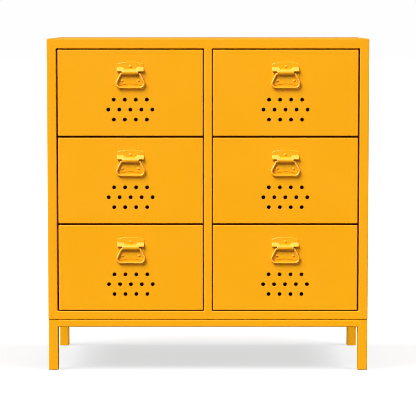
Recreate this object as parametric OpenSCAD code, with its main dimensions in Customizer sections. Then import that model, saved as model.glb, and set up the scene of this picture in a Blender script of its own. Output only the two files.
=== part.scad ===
// Steel cabinet with six drawers in two columns, on a low stand with four legs.
// Millimetres. The front faces -Y, +X is to the right seen from the front, and +Z is up.
// The origin is on the floor, under the middle of the whole object.

/* [Body] */
// Outer width of the body
body_w = 800; // [600:1:1000]
// Outer depth of the body, from its front face to its back edges
body_d = 400; // [320:1:600]
// Outer height of the body, without the stand
body_h = 702.2; // [520:0.1:900]
// Thickness of the body's sheet
body_sheet = 1.2; // [0.8:0.1:1.5]
// Outer radius of the body's bent corners
body_corner_r = 2.5; // [2:0.1:4]

/* [Front frame] */
// Width of the frame's outer upright on each side
stile_w = 23; // [20:0.5:60]
// Width of the upright between the two columns
divider_w = 20.5; // [14:0.5:60]
// Height of the frame above the drawers
top_rail_h = 24.7; // [18:0.1:60]
// Height of the frame below the drawers
bottom_rail_h = 21; // [18:0.1:60]
// Corner radius of the two openings
opening_r = 2.5; // [2:0.1:5]
// How far the sheet turns back around the outside of the frame
edge_return = 15; // [8:0.5:18]
// How far the sheet turns back around each opening
opening_return = 20; // [10:0.5:20]

/* [Drawers] */
// Gap between a drawer front and the outer upright
gap_outer = 3.8; // [1:0.1:5]
// Gap between a drawer front and the upright between the columns
gap_inner = 2.2; // [1:0.1:5]
// Gap above the top drawer front
gap_top = 3; // [1:0.1:6]
// Gap below the bottom drawer front
gap_bottom = 2.7; // [1:0.1:6]
// Gap between one drawer front and the next
gap_between = 4.6; // [1:0.1:8]
// Thickness of the drawers' sheet
drawer_sheet = 1; // [0.7:0.1:1.5]
// How far a drawer front's edges turn back
front_return = 15; // [8:0.5:18]
// Outer corner radius of a drawer front
front_corner_r = 2; // [1.6:0.1:5]
// How far the top of a drawer box lies below the upper edge of its front
box_drop = 34.9; // [20:0.1:60]
// Height of a drawer box above the lower edge of its front
box_lift = 14; // [8:0.5:20]
// Width of the flange that joins a drawer box to its front
box_flange = 12; // [6:0.5:20]

/* [Vents] */
// Diameter of a vent hole
vent_d = 9.6; // [4:0.1:14]
// Distance from one vent hole to the next along a row
vent_pitch = 27.4; // [16:0.1:34]
// Distance from one row of vent holes to the next
vent_row_pitch = 24.8; // [16:0.1:26]
// How far the middle of the vents lies below the middle of the drawer front
vent_drop = 41.5; // [35:0.1:44]

/* [Handle] */
// How far the barrel's axis lies above the middle of the drawer front
handle_rise = 50.8; // [45:0.1:60]
// Thickness of the handle's pressed sheet
handle_sheet = 1.2; // [1:0.1:1.5]
// Width of the handle plate
plate_w = 67; // [60:0.5:90]
// Top of the handle plate above the barrel's axis, at the middle
plate_up = 26.6; // [25:0.1:32]
// Bottom of the handle plate below the barrel's axis, at the sides
plate_down = 31.3; // [28:0.1:33]
// How far the plate's top edge drops from its middle to its sides
top_arch = 5.3; // [1:0.1:6]
// How far the plate's bottom edge rises at the middle
bottom_arch = 3; // [1:0.1:5]
// Width of that rise
bottom_arch_w = 44; // [20:0.5:50]
// Radius of the plate's corners
plate_corner_r = 4; // [2:0.1:6]
// Length of the barrel that holds the bail
barrel_w = 41; // [38:0.5:44]
// Outer radius of the barrel
barrel_r = 7.1; // [6.8:0.1:8]
// How far the barrel's axis stands out from the drawer front
barrel_stand = 3.4; // [3:0.1:5]
// Width of a hooded ear, measured from the end of the barrel
ear_w = 12.5; // [8:0.1:12.8]
// How far a hooded ear stands out from the drawer front
ear_stand = 9; // [6:0.1:10]
// Top of a hooded ear above the barrel's axis
ear_top = 14; // [10:0.1:16]
// Height at which a hooded ear stands out fully, above the barrel's axis
ear_knee = 4.4; // [4:0.1:6]
// Lower edge of a hooded ear above the barrel's axis
ear_lip = 2.4; // [2:0.1:3.5]

/* [Bail] */
// Diameter of the bail's wire
wire_d = 5; // [4:0.1:5.2]
// Outer width of the bail
bail_w = 73; // [70:0.5:84]
// How far the bail's grip hangs below its pins
bail_drop = 34.8; // [30:0.1:42]
// Bend radius of the bail's lower corners, at the wire's middle
bail_corner_r = 9.5; // [6:0.1:12]
// Bend radius between a pin and its arm, at the wire's middle
bail_bend_r = 4; // [3.5:0.1:5]
// Length of a pin inside the barrel
bail_pin = 12; // [6:0.5:16]
// How far the bail swings out, in degrees, where its hinge is drawn
bail_angle = 0; // [0:1:90]

/* [Rivets] */
// Diameter of a handle rivet's head
rivet_head_d = 7.5; // [5:0.1:8]
// Height of a handle rivet's head
rivet_head_h = 2.2; // [1:0.1:2.6]
// Diameter of a handle rivet's shank
rivet_shank_d = 3.8; // [3:0.1:4]
// Height of the top rivet above the barrel's axis
top_rivet_z = 14.8; // [13:0.1:18]
// How far the lower rivets lie from the middle of the plate
low_rivet_x = 20.6; // [12:0.1:22]
// How far the lower rivets lie below the barrel's axis
low_rivet_drop = 20.3; // [14:0.1:22]

/* [Runners] */
// Width of the space that a runner fills between cabinet and drawer box
runner_t = 10; // [10:0.1:14]
// Height of a runner's fixed member
runner_h = 27; // [26:0.1:36]
// Height of a runner's moving member
slider_h = 14.4; // [13:0.1:14.4]
// Thickness of the runners' sheet
runner_sheet = 1; // [0.8:0.1:1.1]
// Height of a runner's middle above the floor of its drawer box
runner_rise = 60; // [20:1:60]
// Length that stays engaged when a drawer is fully open
runner_overlap = 90; // [70:1:120]
// Space behind the runners, to the back edges of the body
rear_space = 28; // [20:1:60]
// Diameter of a runner's balls
ball_d = 4.8; // [4:0.1:4.8]
// Thickness of the ball cage's strip
cage_sheet = 0.8; // [0.6:0.1:0.8]
// Number of balls in each row of a cage
balls_in_row = 4; // [2:1:6]

/* [Inside] */
// Width of an upright that carries the runners
upright_w = 36; // [20:1:60]
// Depth of the recess behind the back panel
back_recess = 7; // [5:0.5:12]
// Height of the turned-up sides of the top and bottom panels
pan_side = 20; // [10:0.5:20]

/* [Stand] */
// Height of the stand
stand_h = 127; // [60:1:300]
// Gap between the stand and the body
stand_seam = 0.8; // [0.4:0.1:3]
// How far the stand's outside is set in from the body's
stand_inset = 0.4; // [0:0.1:10]
// Outer width of a square leg
leg_w = 24; // [18:0.5:40]
// Wall of the legs and rails
tube_wall = 1.5; // [1:0.1:2]
// Outer corner radius of the legs and rails
tube_r = 2; // [1.6:0.1:4]
// Height of the rails
rail_h = 18; // [14:0.5:40]
// Thickness of a foot glide's sole
glide_sole = 1; // [0.8:0.1:6]
// Thickness of a corner plate
corner_plate_t = 3; // [2:0.5:5]
// Length of a corner plate's two straight edges
corner_plate_w = 50; // [40:1:80]
// Diameter of the bolts between stand and body
bolt_d = 8; // [5:0.5:8]

/* [Wall fixing] */
// Distance between the two wall holes in the back panel
wall_hole_spacing = 600; // [300:1:900]
// Diameter of the wall holes
wall_hole_d = 7; // [4:0.5:10]
// How far the wall holes lie below the top of the body
wall_hole_drop = 50; // [35:1:90]

/* [Hidden] */
$fn = 48;
coat = "#FBAC02";
zinc = "#B8BCC0";
bright_steel = "#D5D8DB";
black_nylon = "#26262A";

// Number of drawers in a column
rows = 3;
// Number of vent holes in the middle row; the rows above and below have one less
middle_vents = 5;
// Number of facets of the two large arcs of a handle plate
large_arc_fn = 192;
// How far a cutting shape passes the surface that it cuts
overrun = 1;
// Gap between parts that move past each other
running_gap = 0.3;
// Gap between a fastener's shank and its hole
shank_gap = 0.1;
// Gap between a glide's stem and the inside of a leg
glide_gap = 0.2;
// How far a glide's sole is set in from the leg's outside
glide_inset = 0.6;
// Length of a glide's stem
glide_stem = 12;
// How far the top of a corner plate lies below the top of the rails
corner_plate_drop = 3;
// Length of a corner plate's two short ends, as a share of its straight edges
corner_plate_end_share = 0.2;
// How far a bolt's axis lies from the two inner edges of its corner plate
bolt_in = 16;
// Diameter of the spacers between corner plate and body
spacer_d = 20;
// Height of a bolt's head, height of its nut, and length of its thread past the nut
bolt_head_h = 5.3;
nut_h = 6.5;
bolt_end = 1.5;
// Distance across the corners of a bolt's head and nut
bolt_hex_d = 14.4;
// Diameter and thickness of the flattened end of a handle rivet
rivet_tail_d = 6;
rivet_tail_h = 1.2;
// Diameter, head height and number of the rivets behind the partition
panel_rivet_d = 4;
panel_rivet_head_d = 8;
panel_rivet_head_h = 1.5;
panel_rivets = 4;
// Distance from the end of the partition to its first rivet
panel_rivet_end = 60;
// How far the wire's straight runs pass into its bends, and how much thinner they are
wire_join = 0.1;
wire_ease = 0.02;
// Angle at which the bail's pins rest in the barrel, outwards from straight below its axis
pin_lean = 35;
// Gap between the front frame's returns and the first upright
upright_gap = 2;
// Gap from the end of a ball cage to its first ball
cage_end = 9;

// Places that follow from the sizes above
handle_stand = barrel_stand + barrel_r;
front_y = (handle_stand - body_d) / 2;
body_z = stand_h + stand_seam;
body_top = body_z + body_h;
opening_w = (body_w - 2 * stile_w - divider_w) / 2;
opening_h = body_h - top_rail_h - bottom_rail_h;
opening_z = body_z + bottom_rail_h;
opening_x = divider_w / 2;
opening_cx = opening_x + opening_w / 2;
opening_far = opening_x + opening_w;
front_w = opening_w - gap_outer - gap_inner;
front_h = (opening_h - gap_top - gap_bottom - (rows - 1) * gap_between) / rows;
front_cx = opening_x + gap_inner + front_w / 2;
box_h = front_h - box_lift - box_drop;
runner_start = opening_return + upright_gap;
runner_len = body_d - rear_space - runner_start;
travel = runner_len - runner_overlap;
box_w = opening_w - 2 * runner_t;
box_end = runner_start + runner_len;
race_v = (runner_h / 2 - runner_sheet + slider_h / 2) / 2;
lip_u = runner_t - runner_sheet;
slider_lip_u = runner_sheet + 2 * running_gap + cage_sheet + running_gap;
race_u = (slider_lip_u + lip_u) / 2;
cage_u = runner_sheet + running_gap;
cage_leg_u = lip_u - 2 * running_gap;
cage_start = runner_start + travel / 2 + running_gap;
cage_len = runner_overlap - 2 * running_gap;
wire_r = wire_d / 2;
barrel_bore_r = barrel_r - handle_sheet;
pin_offset = barrel_bore_r - wire_r - running_gap;
pin_stand = barrel_stand + pin_offset * sin(pin_lean);
pin_z = -pin_offset * cos(pin_lean);
stand_w = body_w - 2 * stand_inset;
stand_d = body_d - 2 * stand_inset;
stand_cy = front_y + body_d / 2;
bolt_x = stand_w / 2 - leg_w - bolt_in;
bolt_y = stand_d / 2 - leg_w - bolt_in;
plate_top = stand_h - corner_plate_drop;

COLUMN_NAMES = ["left", "right"];
ROW_NAMES = ["bottom", "middle", "top"];
DRAWER_PIECES = [
    "drawer_front", "drawer_box", "handle_plate", "handle_bail", "handle_rivets",
    "drawer_runners", "ball_cages"
];
function bay_name(column, row) = str(ROW_NAMES[row], "_", COLUMN_NAMES[column]);

// Lower edge of the drawer front in a row, counted from the bottom
function front_z(row) = opening_z + gap_bottom + row * (front_h + gap_between);
// Height of the runners in a row
function runner_z(row) = front_z(row) + box_lift + runner_rise;
// Radius of an arc that rises by a height over a half width
function arc_r(half_w, rise) = (half_w * half_w + rise * rise) / (2 * rise);

// Upright extrusion of an outline drawn in X and Z, starting at a depth behind the front face
module at_depth(depth, length) {
    translate([0, front_y + depth + length, 0])
        rotate([90, 0, 0])
            linear_extrude(length)
                children();
}

// Extrusion along X of an outline drawn in Y and Z
module along_x(start, length) {
    translate([start, 0, 0])
        rotate([90, 0, 90])
            linear_extrude(length)
                children();
}

// What is drawn for the right column, or its mirror image for the left column
module in_column(column) {
    mirror([1 - column, 0, 0])
        children();
}

module round_rect(w, h, r) {
    square([w, h - 2 * r], center = true);
    square([w - 2 * r, h], center = true);
    for (x = [-1, 1], y = [-1, 1])
        translate([x * (w / 2 - r), y * (h / 2 - r)])
            circle(r);
}

// Ring of sheet with rounded corners, as the section of a box or a tube
module round_ring(w, h, r, wall) {
    difference() {
        round_rect(w, h, r);
        round_rect(w - 2 * wall, h - 2 * wall, r - wall);
    }
}

// Section of the top and bottom panels: a flat web with two bent-up sides
module pan_section() {
    intersection() {
        translate([0, body_h / 2])
            round_ring(body_w, body_h, body_corner_r, body_sheet);
        translate([-body_w / 2, 0])
            square([body_w, pan_side]);
    }
}

// Body

module opening_place(side) {
    translate([side * opening_cx, opening_z + opening_h / 2])
        children();
}

module front_frame() {
    color(coat) {
        at_depth(0, body_sheet)
            difference() {
                translate([0, body_z + body_h / 2])
                    round_rect(body_w, body_h, body_corner_r);
                for (side = [-1, 1])
                    opening_place(side)
                        round_rect(opening_w, opening_h, opening_r);
            }
        at_depth(0, edge_return)
            translate([0, body_z + body_h / 2])
                round_ring(body_w, body_h, body_corner_r, body_sheet);
        for (side = [-1, 1])
            at_depth(0, opening_return)
                opening_place(side)
                    round_ring(opening_w + 2 * body_sheet, opening_h + 2 * body_sheet,
                               opening_r + body_sheet, body_sheet);
    }
}

module top_panel() {
    color(coat)
        at_depth(edge_return, body_d - edge_return)
            translate([0, body_top])
                mirror([0, 1])
                    pan_section();
}

module bottom_panel() {
    color(coat)
        difference() {
            at_depth(edge_return, body_d - edge_return)
                translate([0, body_z])
                    pan_section();
            for (x = [-bolt_x, bolt_x], y = [-bolt_y, bolt_y])
                translate([x, stand_cy + y, body_z - overrun])
                    cylinder(d = bolt_d + 2 * shank_gap, h = body_sheet + 2 * overrun);
        }
}

module side_panel(x) {
    color(coat)
        translate([x, front_y + edge_return, body_z + pan_side])
            cube([body_sheet, body_d - edge_return, body_h - 2 * pan_side]);
}

module left_side_panel() {
    side_panel(-body_w / 2);
}

module right_side_panel() {
    side_panel(body_w / 2 - body_sheet);
}

// Heights of the rivets behind the partition
function panel_rivet_z(i) =
    body_z + panel_rivet_end + i * (body_h - 2 * panel_rivet_end) / (panel_rivets - 1);

module back_holes(d) {
    for (i = [0 : panel_rivets - 1])
        translate([0, front_y + body_d - back_recess, panel_rivet_z(i)])
            rotate([90, 0, 0])
                cylinder(d = d, h = 2 * (body_sheet + overrun), center = true);
}

module back_panel() {
    w = body_w - 2 * body_sheet;
    h = body_h - 2 * body_sheet;
    color(coat)
        difference() {
            union() {
                at_depth(body_d - back_recess, body_sheet)
                    translate([0, body_z + body_h / 2])
                        round_rect(w, h, body_corner_r);
                at_depth(body_d - back_recess, back_recess)
                    translate([0, body_z + body_h / 2])
                        round_ring(w, h, body_corner_r, body_sheet);
            }
            back_holes(panel_rivet_d + 2 * shank_gap);
            for (x = [-1, 1])
                translate([x * wall_hole_spacing / 2, front_y + body_d - back_recess,
                           body_top - wall_hole_drop])
                    rotate([90, 0, 0])
                        cylinder(d = wall_hole_d, h = 2 * (body_sheet + overrun),
                                 center = true);
        }
}

module centre_partition() {
    depth = body_d - back_recess - opening_return;
    height = body_h - 2 * body_sheet;
    color(coat)
        difference() {
            translate([-opening_x, front_y + opening_return, body_z + body_sheet])
                cube([divider_w, depth, height]);
            translate([-opening_x + body_sheet, front_y + opening_return - overrun,
                       body_z + body_sheet - overrun])
                cube([divider_w - 2 * body_sheet, depth + overrun - body_sheet,
                      height + 2 * overrun]);
            back_holes(panel_rivet_d + 2 * shank_gap);
        }
}

// Blind rivets: a head behind the back panel and a tail inside the partition
module back_panel_rivets() {
    color(zinc)
        for (i = [0 : panel_rivets - 1])
            translate([0, front_y + body_d - back_recess, panel_rivet_z(i)])
                rotate([-90, 0, 0]) {
                    translate([0, 0, -2 * body_sheet])
                        cylinder(d = panel_rivet_d, h = 4 * body_sheet);
                    translate([0, 0, body_sheet])
                        cylinder(d = panel_rivet_head_d, h = panel_rivet_head_h);
                    translate([0, 0, -body_sheet - panel_rivet_head_h])
                        cylinder(d = panel_rivet_head_d, h = panel_rivet_head_h);
                }
}

// Folded channels between the side panels and the line of the opening edges
module runner_uprights() {
    height = body_h - 2 * body_corner_r;
    color(coat)
        for (column = [0, 1], start = [runner_start, box_end - upright_w])
            in_column(column)
                translate([opening_far, front_y + start, body_z + body_corner_r])
                    difference() {
                        cube([stile_w - body_sheet, upright_w, height]);
                        translate([body_sheet, body_sheet, -overrun])
                            cube([stile_w, upright_w - 2 * body_sheet,
                                  height + 2 * overrun]);
                    }
}

// Runners. Their sections are drawn with U from the cabinet towards the drawer box and V up.

// One runner at each side of a bay, at a height
module runner_pair(z) {
    translate([opening_x, 0, z])
        children();
    translate([opening_far, 0, z])
        mirror([1, 0, 0])
            children();
}

module fixed_section() {
    translate([0, -runner_h / 2])
        square([runner_sheet, runner_h]);
    for (v = [-runner_h / 2, runner_h / 2 - runner_sheet])
        translate([0, v])
            square([lip_u, runner_sheet]);
}

module slider_section() {
    translate([lip_u, -slider_h / 2])
        square([runner_sheet, slider_h]);
    for (v = [-slider_h / 2, slider_h / 2 - runner_sheet])
        translate([slider_lip_u, v])
            square([runner_t - slider_lip_u, runner_sheet]);
}

module cage_section() {
    translate([cage_u, -race_v - cage_sheet / 2])
        square([cage_sheet, 2 * race_v + cage_sheet]);
    for (v = [-race_v, race_v])
        translate([cage_u, v - cage_sheet / 2])
            square([cage_leg_u - cage_u, cage_sheet]);
}

// Fixed members of a column, each with a stop plate across its rear end
module column_runners(column) {
    color(zinc)
        for (row = [0 : rows - 1])
            in_column(column)
                runner_pair(runner_z(row)) {
                    at_depth(runner_start, runner_len + running_gap + runner_sheet)
                        fixed_section();
                    at_depth(box_end + running_gap, runner_sheet)
                        translate([0, -slider_h / 2])
                            square([lip_u, slider_h]);
                }
}

module left_column_runners() {
    column_runners(0);
}

module right_column_runners() {
    column_runners(1);
}

module drawer_runners(column, row) {
    color(zinc)
        in_column(column)
            runner_pair(runner_z(row))
                at_depth(runner_start, runner_len)
                    slider_section();
}

// Places of the balls along a cage
function ball_depth(i) =
    cage_start + cage_end + i * (cage_len - 2 * cage_end) / (balls_in_row - 1);

module ball_cages(column, row) {
    in_column(column)
        runner_pair(runner_z(row)) {
            color(zinc)
                difference() {
                    at_depth(cage_start, cage_len)
                        cage_section();
                    for (i = [0 : balls_in_row - 1])
                        translate([race_u, front_y + ball_depth(i), 0])
                            cylinder(d = ball_d + 2 * running_gap,
                                     h = 2 * (race_v + cage_sheet), center = true);
                }
            color(bright_steel)
                for (i = [0 : balls_in_row - 1], v = [-race_v, race_v])
                    translate([race_u, front_y + ball_depth(i), v])
                        sphere(d = ball_d);
        }
}

// Drawers

// The middle of a drawer front's outer face
module on_front(column, row) {
    in_column(column)
        translate([front_cx, front_y, front_z(row) + front_h / 2])
            children();
}

module vent_holes() {
    for (line = [-1 : 1]) {
        vents = middle_vents - abs(line);
        for (i = [0 : vents - 1])
            translate([(i - (vents - 1) / 2) * vent_pitch, line * vent_row_pitch])
                circle(d = vent_d);
    }
}

// Places of the three rivets on a handle plate, in X and Z from the barrel's axis
RIVET_PLACES = [[0, top_rivet_z], [-low_rivet_x, -low_rivet_drop], [low_rivet_x, -low_rivet_drop]];

module rivet_holes() {
    for (place = RIVET_PLACES)
        translate(place)
            circle(d = rivet_shank_d + 2 * shank_gap);
}

module drawer_front(column, row) {
    color(coat)
        on_front(column, row)
            translate([0, -front_y, 0]) {
                at_depth(0, drawer_sheet)
                    difference() {
                        round_rect(front_w, front_h, front_corner_r);
                        translate([0, -vent_drop])
                            vent_holes();
                        translate([0, handle_rise])
                            rivet_holes();
                    }
                at_depth(0, front_return)
                    round_ring(front_w, front_h, front_corner_r, drawer_sheet);
            }
}

// A tray folded from sheet, open at the top, with flanges that meet the back of the front
module drawer_box(column, row) {
    depth = box_end - drawer_sheet;
    color(coat)
        in_column(column)
            translate([opening_x + runner_t, front_y + drawer_sheet, front_z(row) + box_lift])
                difference() {
                    cube([box_w, depth, box_h]);
                    translate([drawer_sheet, drawer_sheet, drawer_sheet])
                        cube([box_w - 2 * drawer_sheet, depth - 2 * drawer_sheet, box_h]);
                    translate([box_flange, -overrun, box_flange])
                        cube([box_w - 2 * box_flange, drawer_sheet + 2 * overrun, box_h]);
                }
}

// Handles. Their outlines are drawn with O outwards from the drawer front and Z up,
// from the barrel's axis.

module on_handle(column, row) {
    on_front(column, row)
        translate([0, 0, handle_rise])
            children();
}

// Extrusion along X of an outline drawn outwards and up
module outwards_x(start, length) {
    mirror([0, 1, 0])
        along_x(start, length)
            children();
}

// Arched top of the plate: a slice of a large circle that runs into the two corner arcs
module plate_arch() {
    big_r = arc_r(plate_w / 2, top_arch);
    corner_x = plate_w / 2 - plate_corner_r;
    corner_up = sqrt(pow(big_r - plate_corner_r, 2) - pow(corner_x, 2));
    middle = plate_up - big_r;
    intersection() {
        translate([0, middle])
            circle(big_r, $fn = large_arc_fn);
        polygon([
            [0, middle], [2 * corner_x, middle + 2 * corner_up],
            [-2 * corner_x, middle + 2 * corner_up]
        ]);
        translate([-plate_w / 2, 0])
            square([plate_w, plate_up]);
    }
    for (x = [-corner_x, corner_x])
        translate([x, middle + corner_up])
            circle(plate_corner_r);
    translate([-plate_w / 2, 0])
        square([plate_w, middle + corner_up]);
}

module plate_outline() {
    difference() {
        union() {
            plate_arch();
            translate([-plate_w / 2, plate_corner_r - plate_down])
                square([plate_w, plate_down - plate_corner_r]);
            translate([plate_corner_r - plate_w / 2, -plate_down])
                square([plate_w - 2 * plate_corner_r, plate_down]);
            for (x = [-1, 1])
                translate([x * (plate_w / 2 - plate_corner_r), plate_corner_r - plate_down])
                    circle(plate_corner_r);
        }
        translate([0, bottom_arch - plate_down - arc_r(bottom_arch_w / 2, bottom_arch)])
            circle(arc_r(bottom_arch_w / 2, bottom_arch), $fn = large_arc_fn);
        rivet_holes();
    }
}

// Section of the barrel, or of the space inside it, from a height behind the plate's front
module barrel_section(r, back) {
    intersection() {
        union() {
            translate([barrel_stand, 0])
                circle(r);
            translate([-back, -r])
                square([back + barrel_stand, 2 * r]);
        }
        translate([-back, -r])
            square([back + barrel_stand + r, 2 * r]);
    }
}

module ear_section() {
    polygon([[0, ear_top], [ear_stand, ear_knee], [ear_stand, ear_lip], [0, ear_lip]]);
}

module handle_plate(column, row) {
    ear_start = barrel_w / 2 - handle_sheet;
    color(coat)
        on_handle(column, row)
            difference() {
                union() {
                    rotate([90, 0, 0])
                        linear_extrude(handle_sheet)
                            plate_outline();
                    outwards_x(-barrel_w / 2, barrel_w)
                        barrel_section(barrel_r, 0);
                    for (side = [0, 1])
                        mirror([side, 0, 0])
                            outwards_x(ear_start, ear_w + handle_sheet)
                                ear_section();
                }
                outwards_x(-barrel_w / 2, barrel_w)
                    barrel_section(barrel_bore_r, overrun);
                for (side = [0, 1])
                    mirror([side, 0, 0])
                        outwards_x(barrel_w / 2, ear_w - handle_sheet)
                            difference() {
                                translate([-handle_sheet, -handle_sheet])
                                    ear_section();
                                translate([-overrun, 0])
                                    square([handle_sheet + overrun, ear_top]);
                            }
            }
}

// Bail, drawn in X and Z from its pins' axis
bail_bend = [barrel_w / 2 - running_gap, -bail_bend_r];
bail_corner = [bail_w / 2 - wire_r - bail_corner_r, bail_corner_r - bail_drop];
bail_reach = bail_corner - bail_bend;
// Angle by which the arms lean outwards
arm_lean = atan2(bail_reach.y, bail_reach.x)
    + acos((bail_bend_r - bail_corner_r) / norm(bail_reach));
arm_normal = [cos(arm_lean), sin(arm_lean)];

// Round wire between two points of the bail's plane. It is a hair thinner than the bends and
// runs a little way into them, so that they join as one solid.
module straight_wire(from, to) {
    run = to - from;
    translate([from.x, from.y, 0])
        rotate([0, 0, atan2(run.y, run.x)])
            translate([-wire_join, 0, 0])
                rotate([0, 90, 0])
                    cylinder(r = wire_r - wire_ease, h = norm(run) + 2 * wire_join);
}

// Round wire bent about a point of the bail's plane
module bent_wire(centre, r, start, turn) {
    translate([centre.x, centre.y, 0])
        rotate([0, 0, start])
            rotate_extrude(angle = turn)
                translate([r, 0])
                    circle(wire_r);
}

module half_bail() {
    straight_wire([bail_bend.x - bail_pin, 0], [bail_bend.x, 0]);
    bent_wire(bail_bend, bail_bend_r, arm_lean, 90 - arm_lean);
    straight_wire(bail_bend + bail_bend_r * arm_normal, bail_corner + bail_corner_r * arm_normal);
    bent_wire(bail_corner, bail_corner_r, -90, 90 + arm_lean);
}

module handle_bail(column, row) {
    color(coat)
        on_handle(column, row)
            translate([0, -pin_stand, pin_z])
                rotate([90 - bail_angle, 0, 0]) {
                    for (side = [0, 1])
                        mirror([side, 0, 0])
                            half_bail();
                    straight_wire([-bail_corner.x, -bail_drop], [bail_corner.x, -bail_drop]);
                }
}

// Domed head outside, flattened tail inside
module handle_rivets(column, row) {
    grip = handle_sheet + drawer_sheet;
    dome_r = arc_r(rivet_head_d / 2, rivet_head_h);
    color(coat)
        on_handle(column, row)
            for (place = RIVET_PLACES)
                translate([place.x, -handle_sheet, place.y])
                    rotate([90, 0, 0]) {
                        rotate_extrude()
                            intersection() {
                                translate([0, rivet_head_h - dome_r])
                                    circle(dome_r);
                                square([rivet_head_d / 2, rivet_head_h]);
                            }
                        translate([0, 0, -grip - rivet_tail_h])
                            cylinder(d = rivet_shank_d, h = grip + rivet_tail_h + overrun);
                        translate([0, 0, -grip - rivet_tail_h])
                            cylinder(d = rivet_tail_d, h = rivet_tail_h);
                    }
}

// Stand

module tube_section(w, h) {
    round_ring(w, h, tube_r, tube_wall);
}

module legs() {
    color(coat)
        for (x = [-1, 1], y = [-1, 1])
            translate([x * (stand_w - leg_w) / 2, stand_cy + y * (stand_d - leg_w) / 2,
                       glide_sole])
                linear_extrude(stand_h - glide_sole)
                    tube_section(leg_w, leg_w);
}

module cross_rail(y) {
    color(coat)
        translate([0, y, stand_h - rail_h / 2])
            along_x(leg_w - stand_w / 2, stand_w - 2 * leg_w)
                tube_section(leg_w, rail_h);
}

module front_rail() {
    cross_rail(stand_cy - (stand_d - leg_w) / 2);
}

module rear_rail() {
    cross_rail(stand_cy + (stand_d - leg_w) / 2);
}

module side_rails() {
    color(coat)
        for (x = [-1, 1])
            translate([x * (stand_w - leg_w) / 2, 0, stand_h - rail_h / 2])
                at_depth(stand_inset + leg_w, stand_d - 2 * leg_w)
                    tube_section(leg_w, rail_h);
}

// The four inner corners of the stand, each with X and Y pointing inwards
module at_corners() {
    for (x = [0, 1], y = [0, 1])
        translate([0, stand_cy, 0])
            mirror([x, 0, 0])
                mirror([0, y, 0])
                    translate([leg_w - stand_w / 2, leg_w - stand_d / 2, 0])
                        children();
}

module corner_plates() {
    tip = corner_plate_w * corner_plate_end_share;
    color(coat)
        at_corners()
            translate([0, 0, plate_top - corner_plate_t])
                linear_extrude(corner_plate_t)
                    difference() {
                        polygon([
                            [0, 0], [corner_plate_w, 0], [corner_plate_w, tip],
                            [tip, corner_plate_w], [0, corner_plate_w]
                        ]);
                        translate([bolt_in, bolt_in])
                            circle(d = bolt_d + 2 * shank_gap);
                    }
}

// Hexagon bolts from below, each with a spacer between plate and body and a nut inside
module stand_bolts() {
    bolt_bottom = plate_top - corner_plate_t;
    nut_z = body_z + body_sheet;
    color(zinc)
        at_corners()
            translate([bolt_in, bolt_in, 0]) {
                translate([0, 0, bolt_bottom - bolt_head_h])
                    cylinder(d = bolt_hex_d, h = bolt_head_h, $fn = 6);
                translate([0, 0, bolt_bottom - bolt_head_h])
                    cylinder(d = bolt_d, h = nut_z + nut_h + bolt_end - bolt_bottom + bolt_head_h);
                difference() {
                    translate([0, 0, plate_top])
                        cylinder(d = spacer_d, h = body_z - plate_top);
                    translate([0, 0, plate_top - overrun])
                        cylinder(d = bolt_d + 2 * shank_gap, h = body_z);
                }
                difference() {
                    translate([0, 0, nut_z])
                        cylinder(d = bolt_hex_d, h = nut_h, $fn = 6);
                    translate([0, 0, nut_z - overrun])
                        cylinder(d = bolt_d + 2 * shank_gap, h = nut_h + 2 * overrun);
                }
            }
}

module foot_glides() {
    stem_w = leg_w - 2 * tube_wall - 2 * glide_gap;
    sole_w = leg_w - 2 * glide_inset;
    color(black_nylon)
        for (x = [-1, 1], y = [-1, 1])
            translate([x * (stand_w - leg_w) / 2, stand_cy + y * (stand_d - leg_w) / 2, 0]) {
                linear_extrude(glide_sole)
                    round_rect(sole_w, sole_w, tube_r);
                linear_extrude(glide_sole + glide_stem)
                    square(stem_w, center = true);
            }
}

front_frame();
top_panel();
bottom_panel();
left_side_panel();
right_side_panel();
back_panel();
centre_partition();
runner_uprights();
left_column_runners();
right_column_runners();
back_panel_rivets();
front_rail();
rear_rail();
side_rails();
legs();
corner_plates();
stand_bolts();
foot_glides();
for (c = [0 : 1], r = [0 : rows - 1]) {
    bay = bay_name(c, r);
    drawer_front(c, r);
    drawer_box(c, r);
    handle_plate(c, r);
    handle_bail(c, r);
    handle_rivets(c, r);
    drawer_runners(c, r);
    ball_cages(c, r);
}
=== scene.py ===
import math

import bmesh
import bpy
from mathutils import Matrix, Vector


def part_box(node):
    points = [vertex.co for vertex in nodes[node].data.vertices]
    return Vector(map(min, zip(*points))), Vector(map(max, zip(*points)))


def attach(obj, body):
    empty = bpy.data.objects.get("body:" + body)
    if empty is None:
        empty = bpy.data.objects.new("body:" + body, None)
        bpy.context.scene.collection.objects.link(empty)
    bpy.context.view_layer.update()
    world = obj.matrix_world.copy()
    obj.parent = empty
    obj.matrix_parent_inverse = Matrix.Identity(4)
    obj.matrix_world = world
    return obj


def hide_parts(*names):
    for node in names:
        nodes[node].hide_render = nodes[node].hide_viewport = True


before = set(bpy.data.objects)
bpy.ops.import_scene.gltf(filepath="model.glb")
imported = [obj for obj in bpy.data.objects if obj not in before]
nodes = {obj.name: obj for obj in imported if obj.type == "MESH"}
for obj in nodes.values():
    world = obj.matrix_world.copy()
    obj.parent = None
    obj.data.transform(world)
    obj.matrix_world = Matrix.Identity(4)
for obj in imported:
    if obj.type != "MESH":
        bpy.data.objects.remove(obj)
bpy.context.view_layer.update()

# %% [markdown]
# ## Sizes
# A thin-sheet product is drawn in millimetres and Blender works in metres, so one factor turns the one into
# the other. The places are read from the frame and not typed again: where the front faces are, how wide the
# body is, and which bays there are.
# %% Units and places
mm = 0.001
TINY = 0.01 * mm  # corners that are nearer to a place than this are taken to lie on it
body_low, body_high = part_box("front_frame")
front_y = body_low.y
body_size = body_high - body_low
BAYS = [name.removesuffix("_drawer_front") for name in nodes if name.endswith("_drawer_front")]
print("front face at y =", round(front_y / mm, 2), "mm; bays", BAYS)

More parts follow.
